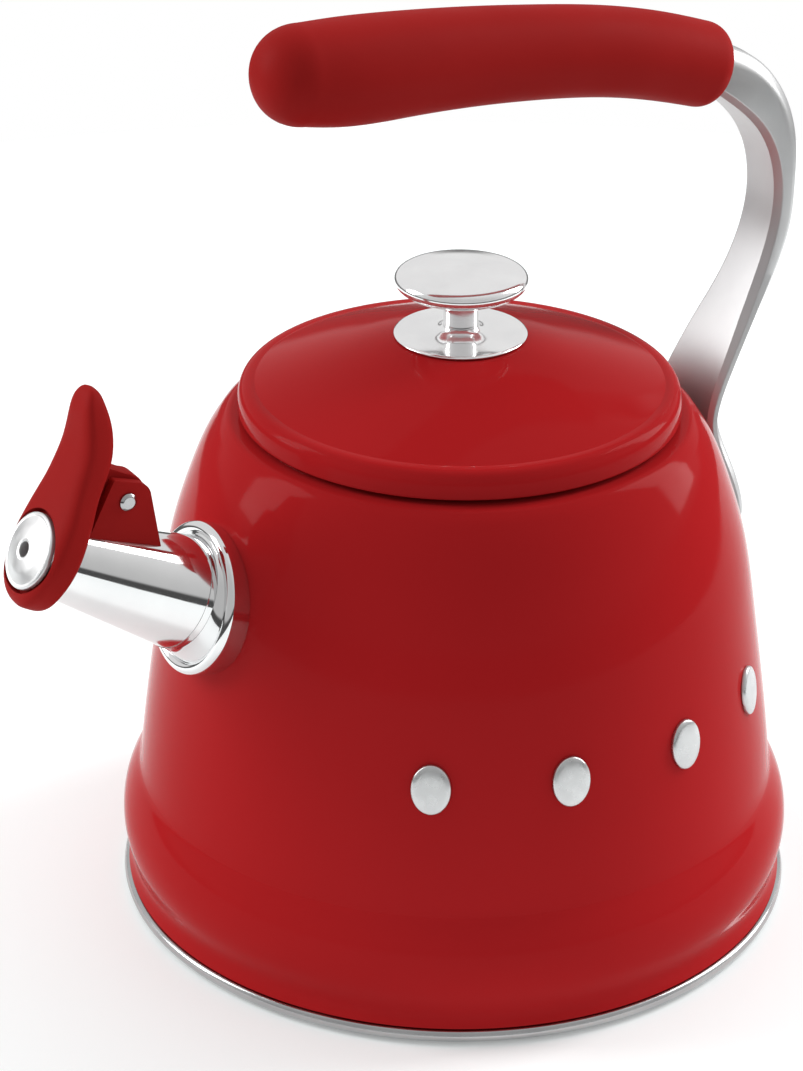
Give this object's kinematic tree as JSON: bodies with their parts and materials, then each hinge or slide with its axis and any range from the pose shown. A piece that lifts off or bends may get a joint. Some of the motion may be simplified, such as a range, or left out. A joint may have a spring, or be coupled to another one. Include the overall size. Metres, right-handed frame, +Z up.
{
  "type": "stovetop whistling kettle",
  "caption": "Domed enamelled stovetop kettle with a lift-off lid, an upswept spout with a flip-up whistle lever, and a cantilevered arched handle grip.",
  "frame": {"origin": "centre of the flat underside of the base, on the surface that the kettle stands on", "axes": "+Z up through the knob; the spout points to -X and the handle stands at +X; y = 0 is the mirror plane of spout and handle"},
  "size_m": [0.2284, 0.18, 0.2453],
  "materials": {
    "red_enamel": "high-gloss vitreous enamel",
    "red_soft_touch": "matte soft-touch, red through",
    "polished_steel": "mirror polished",
    "satin_arm_steel": "satin polished with bright edges",
    "satin_steel": "satin",
    "aluminium": "raw",
    "dark_plastic": "moulded nylon",
    "clear_silicone": "translucent silicone"
  },
  "bodies": {
    "kettle_body": {"body_shell": "red_enamel", "mouth_ring": "satin_steel", "base_pan": "polished_steel", "base_core": "aluminium", "base_cap": "satin_steel", "spout_tube": "polished_steel", "spout_collar": "polished_steel", "hinge_bracket": "red_soft_touch", "hinge_pin": "polished_steel", "handle_arm": "satin_arm_steel", "handle_screw_1": "satin_steel", "handle_screw_2": "satin_steel", "handle_backing_plate": "satin_steel", "handle_grip": "red_soft_touch", "grip_core": "dark_plastic", "badge_1": "satin_steel", "badge_2": "satin_steel", "badge_3": "satin_steel", "badge_4": "satin_steel"},
    "lid": {"lid_shell": "red_enamel", "lid_skirt": "satin_steel", "knob_flange": "polished_steel", "knob": "polished_steel", "knob_screw": "satin_steel", "knob_washer": "satin_steel"},
    "lever": {"whistle_lever": "red_soft_touch", "whistle_front_disc": "polished_steel", "whistle_rear_disc": "satin_steel", "whistle_seal": "clear_silicone"}
  },
  "joints": [
    {"name": "lid_lift", "type": "slide", "parent": "kettle_body", "child": "lid", "axis": [0, 0, 1], "range_m": [0, 0.03]},
    {"name": "lever_hinge", "type": "hinge", "parent": "kettle_body", "child": "lever", "pos_m": [-0.09811, 0, 0.13494], "axis": [0, 1, 0], "range_deg": [0, 55]}
  ]
}
